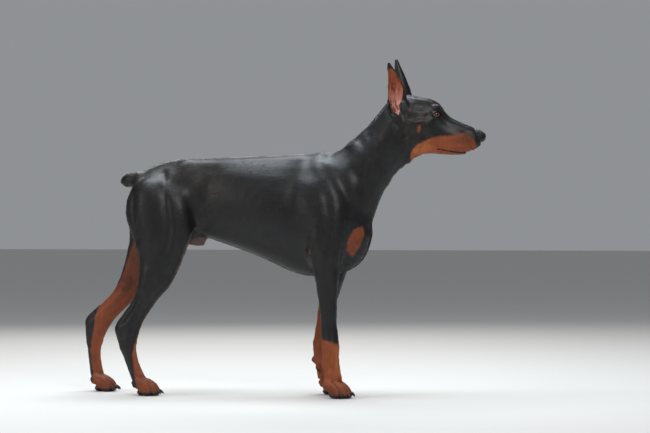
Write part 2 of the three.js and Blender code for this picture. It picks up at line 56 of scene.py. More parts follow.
eye_boxes = [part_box("eye_right"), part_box("eye_left")]
eye_middle = sum((low + high for low, high in eye_boxes), Vector()) / 4
DOG_SHIFT = np.array(eye_middle - Vector((EYE_PLACE[0], 0, EYE_PLACE[2])) / 1000)


def to_dog(points):
    """Points of the frame, in metres, as places on the dog in millimetres."""
    return (np.asarray(points, float) - DOG_SHIFT) * 1000


def from_dog(points):
    """Places on the dog as points of the frame."""
    return np.asarray(points, float) / 1000 + DOG_SHIFT


def put(name, data):
    """An object with its data, at the origin of the scene."""
    made = bpy.data.objects.new(name, data)
    bpy.context.scene.collection.objects.link(made)
    return made


camera = put("camera", bpy.data.cameras.new("camera"))
camera.data.sensor_width = SENSOR
camera.data.lens = FOCAL_PIXELS / PHOTO_WIDTH * SENSOR
camera.data.clip_end = 100
towards_camera = Vector((math.sin(YAW), -math.cos(YAW), 0))
camera.location = Vector(from_dog(MIDDLE_OF_VIEW)) + CAMERA_DISTANCE * towards_camera
camera.rotation_euler = (math.pi / 2, 0, YAW)
bpy.context.scene.camera = camera

# Skin
# One hide over the whole dog, from the ear tips to the toes, which grows on the flesh under it. It is the
# flesh of the frame fused into one surface and smoothed, with its muscles, folds, lids and lips. It lies in
# from the flesh by the depth of the short coat.
COAT_DEPTH = 0.6
SKIN_GRAIN = 6.5
FUSE_SWELL = 0.45
WELD = 2e-5
LONG_EDGE = 0.03
FLESH = [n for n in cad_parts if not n.startswith(("claw", "dewclaw"))]


def merged_copy(node):
    """The vertices and triangles of a node, joined up, and swollen a little so that neighbours fuse."""
    bm = bmesh.new()
    bm.from_mesh(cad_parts[node].data)
    bmesh.ops.remove_doubles(bm, verts=bm.verts, dist=WELD)
    bm.normal_update()
    for vert in bm.verts:
        vert.co += vert.normal * FUSE_SWELL / 1000
    return bm


def read(items, key, width, kind=float):
    """One value of every item of a mesh, a row for each item."""
    out = np.empty(len(items) * width, kind)
    items.foreach_get(key, out)
    return out.reshape(-1, width)


def fused(mesh, grain):
    """The surface round everything in a mesh, with edges about as long as the grain."""
    form = put("form", mesh)
    fuse = form.modifiers.new("fuse", "REMESH")
    fuse.mode = "VOXEL"
    fuse.voxel_size = grain
    bm = bmesh.new()
    bm.from_mesh(form.evaluated_get(bpy.context.evaluated_depsgraph_get()).to_mesh())
    bpy.data.objects.remove(form)
    return bm


def ease(value, start, end):
    """0 before the start, 1 after the end and smooth between."""
    t = np.clip((value - start) / (end - start), 0, 1)
    return t * t * (3 - 2 * t)


def reaches(steps, scale):
    """How far along each step lies once space is scaled on the way there."""
    return np.concatenate([[0], np.cumsum((scale[1:] + scale[:-1]) / 2 * np.diff(steps))])


# The head and the paws need a finer mesh than the trunk, so the flesh is fused in a space that is stretched
# there, and let back after: the head along and across the neck's line, each paw about its own place.
HEAD_STRETCH = 1.7
PAW_STRETCH = 1.0
NECK_ROOT = np.array((200.0, 0.0, 600.0))
NECK_WAY = np.array((1.0, 0.0, 1.0)) / math.sqrt(2)
HEAD_REGION_FROM = 460
PAW_REGION_TO = 300
PAW_PLACES = {(1, -1): 178, (1, 1): 133, (-1, -1): -383, (-1, 1): -551}
head_steps = np.linspace(-900, 700, 3201)
head_scale = 1 + HEAD_STRETCH * ease(head_steps, 90, 175)
head_reach = reaches(head_steps, head_scale) + head_steps[0]
paw_steps = np.linspace(-60, 400, 921)
paw_scale = 1 + PAW_STRETCH * (1 - ease(paw_steps, 70, 150))
paw_reach = reaches(paw_steps, paw_scale)
paw_reach += paw_steps[-1] - paw_reach[-1]


def stretch(points, back=False):
    """Places on the dog in the stretched space or, with back set, the places that they came from."""
    p = points.copy()
    way = (p - NECK_ROOT) @ NECK_WAY
    across = p - NECK_ROOT - way[:, None] * NECK_WAY
    if back:
        new_way = np.interp(way, head_reach, head_steps)
        scale = 1 / np.interp(new_way, head_steps, head_scale)
    else:
        new_way = np.interp(way, head_steps, head_reach)
        scale = np.interp(way, head_steps, head_scale)
    upper = p[:, 2] > HEAD_REGION_FROM
    p[upper] = (NECK_ROOT + new_way[:, None] * NECK_WAY + across * scale[:, None])[upper]
    lower = ~upper & (p[:, 2] < PAW_REGION_TO)
    for (fore, left), x in PAW_PLACES.items():
        here = lower & (np.sign(points[:, 0] + 100) == fore) & (np.sign(points[:, 1]) == left)
        z = p[here, 2]
        if back:
            new_z = np.interp(z, paw_reach, paw_steps)
            scale = 1 / np.interp(new_z, paw_steps, paw_scale)
        else:
            new_z = np.interp(z, paw_steps, paw_reach)
            scale = np.interp(z, paw_steps, paw_scale)
        p[here, 0] = x + (p[here, 0] - x) * scale
        p[here, 1] *= scale
        p[here, 2] = new_z
    return p


flesh = bmesh.new()
for node in FLESH:
    part = merged_copy(node)
    data = bpy.data.meshes.new("part")
    part.to_mesh(data)
    flesh.from_mesh(data)
    bpy.data.meshes.remove(data)
    part.free()
bmesh.ops.triangulate(flesh, faces=flesh.faces)
long_edges = [e for e in flesh.edges if e.calc_length() > LONG_EDGE]
bmesh.ops.subdivide_edges(flesh, edges=long_edges, cuts=2, use_grid_fill=True)
flesh_mesh = bpy.data.meshes.new("flesh")
flesh.to_mesh(flesh_mesh)
flesh.free()
flesh_places = stretch(to_dog(read(flesh_mesh.vertices, "co", 3)))
flesh_mesh.vertices.foreach_set("co", (flesh_places / 1000).ravel())
skin_bm = fused(flesh_mesh, SKIN_GRAIN / 1000)

# Scraps that the fusing leaves inside are dropped: only the hide itself stays.
seen = set()
islands = []
for start in skin_bm.verts:
    if start.index in seen:
        continue
    island = [start]
    seen.add(start.index)
    for vert in island:
        for edge in vert.link_edges:
            other = edge.other_vert(vert)
            if other.index not in seen:
                seen.add(other.index)
                island.append(other)
    islands.append(island)
islands.sort(key=len)
bmesh.ops.delete(skin_bm, geom=[v for island in islands[:-1] for v in island], context="VERTS")
skin_bm.verts.index_update()


def line_distance(points, path):
    """How far points are from a path of straight lengths, in as many dimensions as the path has."""
    best = np.full(len(points), 1e9)
    for a, b in zip(path[:-1], path[1:]):
        a, b = np.array(a, float), np.array(b, float)
        t = np.clip((points - a) @ (b - a) / max((b - a) @ (b - a), 1e-9), 0, 1)
        best = np.minimum(best, np.linalg.norm(points - a - t[:, None] * (b - a), axis=1))
    return best


def from_side_path(p, path):
    """Distance from a path that is drawn on the side view of the dog."""
    return line_distance(p[:, [0, 2]], path if len(path) > 1 else path * 2)


def from_path(p, path):
    """Distance from a path on the left half of the dog or from its mirror image on the right half."""
    return line_distance(np.column_stack([p[:, 0], np.abs(p[:, 1]), p[:, 2]]), path)


LIP_LINE = [(468, 703), (485, 699), (508, 695.5), (533, 692.5), (551, 694.5), (567, 702), (579, 711),
            (594, 717)]
LIP_BACK_FROM_MIDDLE = [0, 8, 14, 20]
LIP_HEIGHTS_AHEAD = [713, 710, 703, 695]


def from_eyes(p):
    """Distance from the middle of the nearer eye."""
    mirrored = np.column_stack([p[:, 0], np.abs(p[:, 1]), p[:, 2]])
    return np.linalg.norm(mirrored - np.array(EYE_PLACE), axis=1)


def from_lips(p):
    """Distance from the mouth line: as seen from the side along the muzzle, and from ahead round its end."""
    away = from_side_path(p, LIP_LINE)
    ahead = np.abs(p[:, 2] - np.interp(np.abs(p[:, 1]), LIP_BACK_FROM_MIDDLE, LIP_HEIGHTS_AHEAD))
    away += (ahead - away) * ease(p[:, 0], 560, 570)
    return np.where((p[:, 0] > 460) & (p[:, 2] > 660), away, 99)


def from_cups(p):
    """0 low in the cups of the ears, where they fold, and far elsewhere."""
    inside = (p[:, 0] > 318) & (p[:, 0] < 376) & (p[:, 2] > 790) & (p[:, 2] < 848) & (np.abs(p[:, 1]) > 44)
    return np.where(inside, 0.0, 99.0)


def refine(bm, far_from, reach):
    """Halves the edges that lie within reach, by the given way to measure."""
    near = far_from(np.array([v.co for v in bm.verts])) < reach
    edges = [e for e in bm.edges if near[e.verts[0].index] and near[e.verts[1].index]]
    bmesh.ops.subdivide_edges(bm, edges=edges, cuts=1, use_grid_fill=True)
    bm.verts.index_update()


def smoother(edges, count):
    """A way to round a mesh off without shrinking it: a push in, then nearly the same push out."""
    edge_a, edge_b = np.array(edges).T
    valence = np.bincount(edge_a, minlength=count) + np.bincount(edge_b, minlength=count).astype(float)

    def step(p, share):
        total = np.column_stack([
            np.bincount(edge_a, p[edge_b, k], count) + np.bincount(edge_b, p[edge_a, k], count)
            for k in range(3)
        ])
        return p + (total / valence[:, None] - p) * share[:, None]

    def smooth(p, share, rounds):
        for _ in range(rounds):
            p = step(step(p, 0.52 * share), -0.50 * share)
        return p

    return smooth


def ear_share_of(p):
    """1 in the ears and 0 on the skull."""
    return ease(p[:, 2], 835, 872) * ease(np.abs(p[:, 1]), 20, 30)


def paw_share_of(p):
    """1 in the paws and 0 above them."""
    return 1 - ease(p[:, 2], 48, 72)


places = stretch(np.array([v.co for v in skin_bm.verts]) * 1000, back=True)
for vert, place in zip(skin_bm.verts, places):
    vert.co = place
places = np.array([v.co for v in skin_bm.verts])
in_trunk = (places[:, 2] > 90) & (places[:, 0] < 330)
by_head = 0.35 * (places[:, 2] > 600) * (1 - ear_share_of(places))
smooth = smoother([(e.verts[0].index, e.verts[1].index) for e in skin_bm.edges], len(places))
places = smooth(places, (1 - 0.93 * ear_share_of(places)) * (1 - 0.8 * paw_share_of(places)), 40)
places = smooth(places, np.where(in_trunk, 1.0, by_head), 60)
for vert, place in zip(skin_bm.verts, places):
    vert.co = place
refine(skin_bm, from_eyes, 23)
refine(skin_bm, from_eyes, 18)
refine(skin_bm, from_lips, 6)
refine(skin_bm, from_cups, 1)
bmesh.ops.triangulate(skin_bm, faces=[f for f in skin_bm.faces if len(f.verts) > 4])
skin_mesh = bpy.data.meshes.new("skin")
skin_bm.to_mesh(skin_mesh)
skin_bm.free()


def normals_with(mesh, p):
    """Gives a mesh its places and returns the normals that they make."""
    mesh.vertices.foreach_set("co", p.ravel())
    mesh.update()
    return read(mesh.vertex_normals, "vector", 3)


P = read(skin_mesh.vertices, "co", 3)
side = np.where(P[:, 1] < 0, -1.0, 1.0)
in_ear = ear_share_of(P)
in_paw = paw_share_of(P)
smooth = smoother([tuple(e.vertices) for e in skin_mesh.edges], len(P))
P = smooth(P, ease(-np.minimum.reduce([from_eyes(P) - 5, from_lips(P), from_cups(P)]), -24, -12), 6)
N = normals_with(skin_mesh, P)

# Muscles, tendons and bones under the hide. Each is a path, how wide it spreads and how high it stands.
TRUNK_FORMS = [
    ([(124, 668), (165, 612), (212, 548)], 18, 2.4),
    ([(82, 655), (66, 570), (74, 490)], 26, -4.0),
    ([(112, 590), (114, 520), (112, 450)], 30, 5.0),
    ([(160, 570), (170, 520), (172, 470), (160, 420)], 11, -2.4),
    ([(200, 540), (200, 480), (188, 400)], 24, 3.0),
    ([(228, 505)], 22, 3.5),
    ([(236, 640), (262, 580), (266, 520)], 13, -2.4),
    ([(110, 408)], 13, 5.0),
    ([(138, 405), (134, 370)], 12, -2.5),
    ([(-188, 640), (-204, 560), (-216, 500)], 32, -6.5),
    ([(-206, 505), (-236, 470), (-262, 425)], 13, 3.0),
    ([(-262, 664)], 17, 4.5),
    ([(-300, 650), (-340, 640)], 16, -2.0),
    ([(-404, 606)], 17, 4.0),
    ([(-374, 615), (-366, 530), (-352, 455)], 32, 5.5),
    ([(-322, 640), (-306, 560), (-296, 480), (-304, 415)], 9, -4.5),
    ([(-262, 570), (-258, 490), (-280, 410)], 24, 4.5),
    ([(-402, 585), (-402, 520), (-390, 445)], 7, -3.5),
    ([(-120, 620), (-96, 500), (-60, 430)], 60, 2.0),
]
RIB_PLACES = range(-124, 50, 29)
RIB_FORMS = [([(x + 22, 590), (x, 520), (x - 20, 450)], 7.5, 0.34 - 0.002 * abs(x + 60)) for x in RIB_PLACES]
NECK_FORMS = [
    ([(340, 765), (285, 670), (232, 590)], 22, 2.4),
    ([(384, 700), (340, 632), (300, 572), (272, 520)], 12, -2.6),
    ([(300, 796), (250, 725), (196, 668)], 17, -1.8),
]
HEAD_FORMS = [
    ([(424, 822)], 17, -2.5),
    ([(398, 776), (430, 785), (452, 783)], 8, 2.0),
    ([(398, 742)], 25, 2.2),
    ([(430, 768), (438, 735), (428, 704)], 7, -2.2),
    ([(480, 792), (505, 766), (530, 752)], 12, -2.6),
    ([(476, 712), (508, 706), (548, 706)], 8, 1.4),
    ([(444, 800), (438, 790)], 9, -1.6),
    ([(376, 800), (384, 770), (378, 735)], 7, -2.4),
]
# The groove of the spine between its long muscles, the withers, the breast bone between its muscles, the
# furrow between the eyes and the groove below the nose.
MIDDLE_FORMS = [
    ([(-300, 0, 684), (90, 0, 694)], 10, -2.2),
    ([(-290, 34, 674), (60, 34, 680)], 17, 2.6),
    ([(150, 15, 698), (128, 16, 700)], 12, 3.0),
    ([(276, 0, 470), (262, 0, 418), (228, 0, 366)], 9, -3.5),
    ([(270, 26, 462), (256, 28, 415), (224, 28, 372)], 19, 3.5),
    ([(482, 0, 812), (455, 0, 842), (415, 0, 853)], 8, -1.8),
    ([(592, 0, 726), (590, 0, 716)], 2.0, -1.2),
]
# The forms of the legs are written for the right legs, by the bone from the first or the second joint on,
# and carried to the left ones by their joints.
LEG_JOINTS = {
    ("fore", -1): [(140, 385), (168, 135), (176, 40)],
    ("fore", 1): [(137, 385), (114, 138), (131, 40)],
    ("hind", -1): [(-370, 590), (-296, 375), (-424, 182), (-388, 42)],
    ("hind", 1): [(-370, 590), (-376, 365), (-556, 192), (-554, 42)],
}
LEG_FORMS = {
    ("fore", 0): [
        ([(186, 350), (186, 290), (180, 230)], 11, 2.6),
        ([(163, 345), (160, 280), (162, 210)], 6, -2.4),
        ([(140, 340), (144, 270)], 10, 1.6),
        ([(148, 220), (149, 180)], 5, -1.8),
        ([(172, 150)], 15, 1.6),
        ([(146, 142)], 9, 2.0),
    ],
    ("fore", 1): [
        ([(158, 120), (166, 75)], 4.5, -1.2),
        ([(184, 118), (186, 70)], 8, 0.8),
    ],
    ("hind", 1): [
        ([(-290, 372)], 15, 4.0),
        ([(-302, 335), (-330, 296)], 9, 1.5),
        ([(-372, 352), (-384, 312)], 18, 3.5),
        ([(-340, 330), (-362, 280), (-392, 235)], 8, -2.6),
        ([(-390, 292), (-408, 255), (-438, 216)], 8, -6.0),
        ([(-364, 262), (-386, 215)], 7, -1.5),
    ],
    ("hind", 2): [
        ([(-461, 188)], 9, 2.0),
        ([(-430, 186), (-436, 168)], 9, -2.6),
        ([(-404, 176)], 10, 2.2),
        ([(-436, 150), (-430, 112), (-412, 66)], 5, -1.8),
        ([(-412, 150), (-404, 100), (-392, 62)], 8, 1.2),
    ],
}
LEG_FORMS_TO = 480
TRUNK_FORMS_FROM = 330


def carried(pair, left, bone, points, own=-1):
    """Points by a bone of the right leg, or of the one that own names, moved to the same bone of another."""
    a, b = (complex(*LEG_JOINTS[pair, own][bone + i]) for i in (0, 1))
    c, d = (complex(*LEG_JOINTS[pair, left][bone + i]) for i in (0, 1))
    turned = [c + (complex(*p) - a) / (b - a) * (d - c) for p in points]
    return [(p.real, p.imag) for p in turned]


def mound(distance, width, power=2):
    """1 at no distance, falling away over the width."""
    return np.exp(-((distance / width) ** power))


def side_form(p, n, path, width, height, where):
    """How much a form lifts each point of the sides of the dog."""
    facing = ease(np.abs(n[:, 1]), 0.15, 0.6)
    return height * mound(from_side_path(p, path), width) * facing * where


outward = np.where(N[:, 1] * side > 0, 1.0, 0.0)
on_head = ease((P - NECK_ROOT) @ NECK_WAY, 150, 190)
lift = np.zeros(len(P))
for forms, where in (
    (TRUNK_FORMS + RIB_FORMS, outward * (P[:, 2] > TRUNK_FORMS_FROM)),
    (NECK_FORMS, outward),
    (HEAD_FORMS, outward * on_head * (1 - in_ear)),
):
    for path, width, height in forms:
        lift += side_form(P, N, path, width, height, where)
for (pair, bone), forms in LEG_FORMS.items():
    for left in (-1, 1):
        here = (side == left) & ((P[:, 0] > -100) == (pair == "fore")) & (P[:, 2] < LEG_FORMS_TO)
        for path, width, height in forms:
            lift += side_form(P, N, carried(pair, left, bone, path), width, height, here)
for path, width, height in MIDDLE_FORMS:
    lift += height * mound(from_path(P, path), width)
P = P + N * lift[:, None]
P = smooth(P, (1 - 0.9 * in_ear) * (1 - 0.9 * in_paw), 3)

# Lids: the hide is drawn over the eyeball round an almond opening, with a rim and a crease above, and in the
# opening it falls away behind the ball.
EYE_AZIMUTH = math.radians(62)
EYE_RISE = math.radians(5)
EYE_RADIUS = 12.0
LID_RADIUS = 13.5
LID_REACH = 24
LID_SOFTNESS = 1.6
LID_FOLD = 2.4
ALMOND = 13.8
LID_TOP = 8.3
LID_BOTTOM = 7.2


def eye_axes(left):
    """The ways ahead, up and out of one eye."""
    level = math.cos(EYE_RISE)
    out = np.array((level * math.cos(EYE_AZIMUTH), left * level * math.sin(EYE_AZIMUTH), math.sin(EYE_RISE)))
    ahead = np.cross((-0.16, 0, 1.0), out) * left
    ahead /= np.linalg.norm(ahead)
    up = np.cross(out, ahead) * left
    return ahead, up / np.linalg.norm(up), out


lid_black = np.zeros(len(P))
for left in (-1, 1):
    centre = np.array(EYE_PLACE) * (1, left, 1)
    a, u, w = ((P - centre) @ np.array(eye_axes(left)).T).T
    radial = np.hypot(a, u)
    near = (side == left) & (radial < LID_REACH) & (w > -4)
    slant = 0.05 * a
    span = np.clip(1 - (a / ALMOND) ** 2, 0, 1)
    inside = np.minimum(LID_TOP * span ** 0.75 + slant - u, u + LID_BOTTOM * span ** 0.85 - slant)
    inside = np.where(np.abs(a) < ALMOND, inside, ALMOND - np.abs(a) - 0.3 * np.abs(u))
    ball = np.sqrt(np.clip(LID_RADIUS ** 2 - radial ** 2, 0, None))
    over = np.where(radial < LID_RADIUS, ball, -9)
    lidded = np.logaddexp(over / LID_SOFTNESS, w / LID_SOFTNESS) * LID_SOFTNESS
    lidded = np.minimum(lidded, ball + LID_FOLD + 14 * ease(radial, 6.5, 13.5))
    lidded += 0.7 * mound(inside + 0.7, 0.9) - 0.9 * mound(inside + 4.2, 1.3) * (u > 0)
    sunk = np.sqrt(np.clip((EYE_RADIUS - 2.0) ** 2 - radial ** 2, 1, None))
    new_w = w + (lidded - w) * ease(LID_REACH - radial, 0, 9)
    new_w = new_w + (np.minimum(sunk, new_w) - new_w) * ease(inside, -0.2, 0.9)
    P = np.where(near[:, None], P + np.outer(new_w - w, eye_axes(left)[2]), P)
    lid_black = np.maximum(lid_black, np.where(near, ease(inside, -1.6, -0.6), 0))

# Lips: the upper lip hangs over the lower one along a dark line from the corner to below the nose.
LIP_GROOVE = 3.6
UPPER_LIP = 1.1
LOWER_LIP = 0.5
N = normals_with(skin_mesh, P)
lip_distance = from_lips(P)
above_lip = P[:, 2] - np.interp(P[:, 0], [p[0] for p in LIP_LINE], [p[1] for p in LIP_LINE])
P = P - N * (LIP_GROOVE * mound(lip_distance, 1.35))[:, None]
P = P + N * (UPPER_LIP * mound(lip_distance - 3.6, 2.4) * (above_lip > 0))[:, None]
P = P + N * (LOWER_LIP * mound(lip_distance - 3.0, 1.6) * (above_lip < 0))[:, None]

# The nose leather sits over the end of the muzzle, so the hide sinks a little below it and round it.
nose_tree = BVHTree.FromBMesh(merged_copy("nose"))


def from_nose(p):
    """Distance of one place from the nose leather, for those near the end of the muzzle."""
    if p[0] < 545 or p[2] < 700:
        return 99
    return nose_tree.find_nearest(Vector(from_dog(p)))[3] * 1000


nose_gap = np.array([from_nose(p) for p in P])
P = P - N * (1.3 * (1 - ease(nose_gap, 0.8, 2.6)) + 2.2 * (1 - ease(nose_gap, 0.5, 11)))[:, None]

# Low in each ear cup the hide folds into ridges round the way in to the ear.
CUP_OUTLINE = [(327, 940), (326, 903), (326, 868), (331, 838), (336, 820), (346, 806), (360, 796), (365, 808),
               (363, 828), (371, 851), (374, 874), (366, 898), (353, 918), (341, 936)]
CUP_FOLDS = [
    ([(328, 846), (330, 826), (340, 811), (356, 801)], 2.6, 2.6),
    ([(341, 842), (345, 828), (354, 814), (361, 806)], 2.2, 2.6),
    ([(352, 840), (356, 828), (362, 818)], 2.0, 1.6),
    ([(336, 830), (340, 821), (350, 809)], 2.4, -2.6),
    ([(349, 832), (352, 824), (358, 814)], 2.0, -2.4),
    ([(342, 868), (344, 852)], 4.5, -1.0),
    ([(333, 900), (336, 872), (333, 852)], 3.0, 1.2),
    ([(358, 888), (362, 866), (360, 846)], 3.0, 1.1),
]
EAR_BASE = 830
EAR_LENGTH = 117
LEFT_EAR_FORWARD = 7
LEFT_EAR_RAISE = 15


def inside_outline(points, outline):
    """How far inside a closed outline each point lies; less than nothing outside it."""
    ring = np.array(outline, float)
    odd = np.zeros(len(points), bool)
    for (ax, az), (bx, bz) in zip(ring, np.roll(ring, -1, axis=0)):
        spans = (az > points[:, 1]) != (bz > points[:, 1])
        with np.errstate(divide="ignore", invalid="ignore"):
            crossing = ax + (points[:, 1] - az) * (bx - ax) / (bz - az)
        odd ^= spans & (points[:, 0] < crossing)
    away = line_distance(points, np.vstack([ring, ring[:1]]))
    return np.where(odd, away, -away)


def in_ear_cup(p, n, tree):
    """How far inside the opening of its ear each point lies, if it can be seen from that side."""
    left_ear = p[:, 1] > 0
    high = np.clip((p[:, 2] - EAR_BASE) / EAR_LENGTH, 0, None) * left_ear
    flat = np.column_stack([p[:, 0] - LEFT_EAR_FORWARD * high, p[:, 2] - LEFT_EAR_RAISE * high ** 2])
    inside = inside_outline(flat, CUP_OUTLINE)
    hidden = np.ones(len(p), bool)
    faces_out = n[:, 1] * np.where(left_ear, 1, -1)
    for i in np.flatnonzero((inside > -3) & (np.abs(p[:, 1]) > 30) & (p[:, 2] > 788)):
        way = Vector((0, 1 if left_ear[i] else -1, 0))
        start = Vector(p[i]) + way * 0.4 + Vector(n[i]) * 0.4
        hidden[i] = faces_out[i] <= 0.3 and tree.ray_cast(start, way, 60)[0] is not None
    return np.where(hidden, -9, inside)


skin_faces = [tuple(f.vertices) for f in skin_mesh.polygons]
cup_depth = in_ear_cup(P, N, BVHTree.FromPolygons(P.tolist(), skin_faces))
painted_fold_shade = np.zeros(len(P))
for path, width, height in CUP_FOLDS:
    P = P + N * (height * mound(from_side_path(P, path), width) * (cup_depth > 0))[:, None]
P = P - N * COAT_DEPTH
P[:, 2] = np.maximum(P[:, 2], 0.3)
N = normals_with(skin_mesh, P)

# Rust markings: brows, cheeks, muzzle, throat, breast, elbows, lower legs, inner thighs and under the tail.
BROW = (466, 24, 824)
CHEEK = (419, 760)
ELBOW = (113, 414)
MUZZLE_TOP = [(380, 640), (387, 661), (390, 690), (398, 706), (413, 717), (433, 728), (453, 736), (475, 741),
              (498, 741), (518, 744), (541, 750), (561, 743), (572, 731), (580, 716)]
BREAST = [(214, 418), (226, 399), (246, 425), (261, 462), (256, 484), (236, 477), (219, 448)]
OUTER_HIND = [(-326, 262), (-350, 242), (-368, 223), (-380, 202), (-391, 173), (-402, 145), (-407, 116),
              (-404, 87), (-400, 59), (-391, 30)]
INNER_HIND = [(-480, 330), (-520, 285), (-543, 262), (-556, 236), (-560, 209), (-562, 180), (-569, 150),
              (-574, 121), (-571, 86), (-563, 48)]
HOCK = 200
x, z = P[:, 0], P[:, 2]
out_from_middle = np.abs(P[:, 1])
ahead = N[:, 0]
outer = N[:, 1] * side


def oval(place, across, along, lean):
    """1 inside an oval on the side of the dog, falling to 0 over its edge."""
    dx, dz = x - place[0], z - place[1]
    c, s = math.cos(math.radians(lean)), math.sin(math.radians(lean))
    return 1 - ease(np.hypot((dx * c + dz * s) / across, (dz * c - dx * s) / along), 0.35, 1.5)


def hind_edge(left, line, own):
    """The x of a line down a hind leg, at the height of each point, on the leg of one side."""
    high = carried("hind", left, 1, [q for q in line if q[1] > HOCK], own)
    low = carried("hind", left, 2, [q for q in line if q[1] <= HOCK], own)
    edge_x, edge_z = np.array(sorted(high + low, key=lambda q: q[1])).T
    return np.interp(z, edge_z, edge_x)


from_brow = np.column_stack([x - BROW[0], (out_from_middle - BROW[1]) * 0.8, (z - BROW[2]) * 1.1])
muzzle = (1 - ease(z - np.interp(x, *np.array(MUZZLE_TOP, float).T), -13, 10)) * ease(x, 376, 398)
breast = ease(inside_outline(P[:, [0, 2]], BREAST), -7, 6) * ease(out_from_middle, 16, 26)
rust = np.maximum.reduce([
    (1 - ease(np.linalg.norm(from_brow, axis=1), 3.5, 9)) * 0.9,
    oval(CHEEK, 5.5, 12, -12) * (out_from_middle > 30) * 0.95,
    muzzle * (1 - ease(x, 568, 584) * ease(z, 702, 716)) * on_head,
    breast * ease(ahead, -0.2, 0.15) * (x > 190),
    oval(ELBOW, 3, 13, 8) * (outer > 0.3) * (x < 140) * 0.62,
])
for left in (-1, 1):
    fore = (side == left) & (x > 0) & (z < 420)
    inner = 1 - ease(outer, -0.3, 0.3)
    back = 1 - ease(ahead, -0.5, 0.1)
    top_of_rust = 160 + 116 * inner * (0.3 + 0.7 * back) - 8 * ahead
    rust = np.maximum(rust, np.where(fore, 1 - ease(z - top_of_rust, -13, 13), 0))
    hind = (side == left) & (x < -180) & (z < 560)
    inner = 1 - ease(outer, -0.15, 0.35)
    edge = hind_edge(left, OUTER_HIND, -1)
    edge = edge + (hind_edge(left, INNER_HIND, 1) - edge) * inner
    shin = ease(x - edge, -7, 7) * (1 - (1 - inner) * ease(z, 232, 272))
    thigh = inner * (1 - ease(z, 400, 520)) * ease(ahead + 0.4, -0.45, 0.1)
    up_thigh = ease(z, 300, 340)
    rust = np.maximum(rust, np.where(hind, shin * (1 - up_thigh) + thigh * up_thigh, 0))
vent = mound(from_path(P, [(-420, 0, 592), (-424, 6, 566)]), 19, 2.6) * (1 - ease(ahead, -0.2, 0.2))
dark_soles = 0.8 * (1 - ease(z, 6, 15))
rust = np.maximum(rust, vent) * (1 - dark_soles) * (1 - lid_black)

# Places without hair or with another colour: cups of the ears, sheath, pads, lips and gum. The rust is
# smoky on the muzzle, breast and legs and pale by the corner of the mouth, with painted shade darkening it on
# the hind legs. The black is brown in random patches, with a painted warm sheen on the cheek and the rump.
pad = (z < 7) * (N[:, 2] < -0.35)
for left in (-1, 1):
    (heel_x, heel_z), = carried("fore", left, 1, [(137, 97)])
    pad = np.maximum(pad, mound(np.linalg.norm(P - (heel_x, left * 67, heel_z), axis=1), 10, 6))
# Painted shade: the grooves between the folds low in the ear cups are darkened.
for path, width, height in CUP_FOLDS:
    if height < -2:
        painted_fold_shade = np.maximum(painted_fold_shade, mound(from_side_path(P, path), width) * (cup_depth > 0))
MARKS = {
    "rust": rust,
    "ear_in": ease(cup_depth, 0.6, 3.4) * (1 - 0.85 * ease(z, 916, 942)),
    "bare": mound(from_path(P, [(-270, 0, 445), (-208, 0, 434)]), 22, 4) * (z < 470),
    "pad": pad,
    "smoke_and_painted_shade": np.maximum.reduce([
        mound(x - 556, 30) * ease(z, 690, 735) * on_head,
        0.55 * mound(from_path(P, [(560, 12, 690), (520, 14, 684)]), 14) * on_head,
        0.5 * (1 - ease(z, 20, 44)),
        # Painted shade: the rust of the hind legs is darkened, most higher up towards the thighs.
        (0.42 + 0.4 * ease(z, 200, 330)) * (z < 560) * (x < -180),
        0.40 * (1 - ease(z, 480, 560)) * ease(z, 340, 400) * (x > 180),
        0.30 * ease(z, 120, 170) * (z < 300) * (x > 60),
    ]),
    "pale": np.maximum(
        mound(from_side_path(P, [(404, 700), (430, 708)]), 22) * on_head,
        0.8 * ease(ahead, 0.2, 0.9) * (z < 160) * (z > 60),
    ),
    # Painted sheen: a warm brown highlight painted on the cheek and on the rump and loin.
    "painted_sheen": np.maximum(
        0.9 * mound(from_side_path(P, [(392, 790), (414, 752)]), 30) * on_head,
        0.8 * mound(from_path(P, [(-350, 30, 650), (-200, 50, 640)]), 70),
    ),
}
SKIN_MARKS = {
    "lip": mound(lip_distance, 2.1),
    "gum": mound(from_side_path(P, [(474, 700.5), (502, 695)]), 1.3) * (out_from_middle > 14) * on_head,
    "painted_fold_shade": painted_fold_shade,
}


def mark(mesh, marks):
    """Writes values for each vertex that the finish of the coat reads."""
    for name, values in marks.items():
        attribute = mesh.attributes.new(name, "FLOAT", "POINT")
        attribute.data.foreach_set("value", np.asarray(values, np.float32))


skin_mesh.vertices.foreach_set("co", from_dog(P).ravel())
mark(skin_mesh, MARKS | SKIN_MARKS)
skin_mesh.polygons.foreach_set("use_smooth", np.ones(len(skin_mesh.polygons), bool))
skin_mesh.update()


class Socket:
    """A value of a finish that can be worked with in plain sums."""

    def __init__(self, tree, link):
        self.tree, self.link = tree, link

    def sum(self, kind, other):
        node = self.tree.nodes.new("ShaderNodeMath")
        node.operation = kind
        self.tree.links.new(self.link, node.inputs[0])
        if isinstance(other, Socket):
            self.tree.links.new(other.link, node.inputs[1])
        else:
            node.inputs[1].default_value = other
        return Socket(self.tree, node.outputs[0])

    def __add__(self, other):
        return self.sum("ADD", other)

    def __mul__(self, other):
        return self.sum("MULTIPLY", other)

    def __sub__(self, other):
        return self.sum("SUBTRACT", other)

    def clamp(self):
        return self.sum("MAXIMUM", 0.0).sum("MINIMUM", 1.0)

    def band(self, low, high):
        """0 below low, 1 above high and smooth between."""
        node = self.tree.nodes.new("ShaderNodeMapRange")
        node.interpolation_type = "SMOOTHSTEP"
        self.tree.links.new(self.link, node.inputs["Value"])
        node.inputs["From Min"].default_value = low
        node.inputs["From Max"].default_value = high
        return Socket(self.tree, node.outputs["Result"])


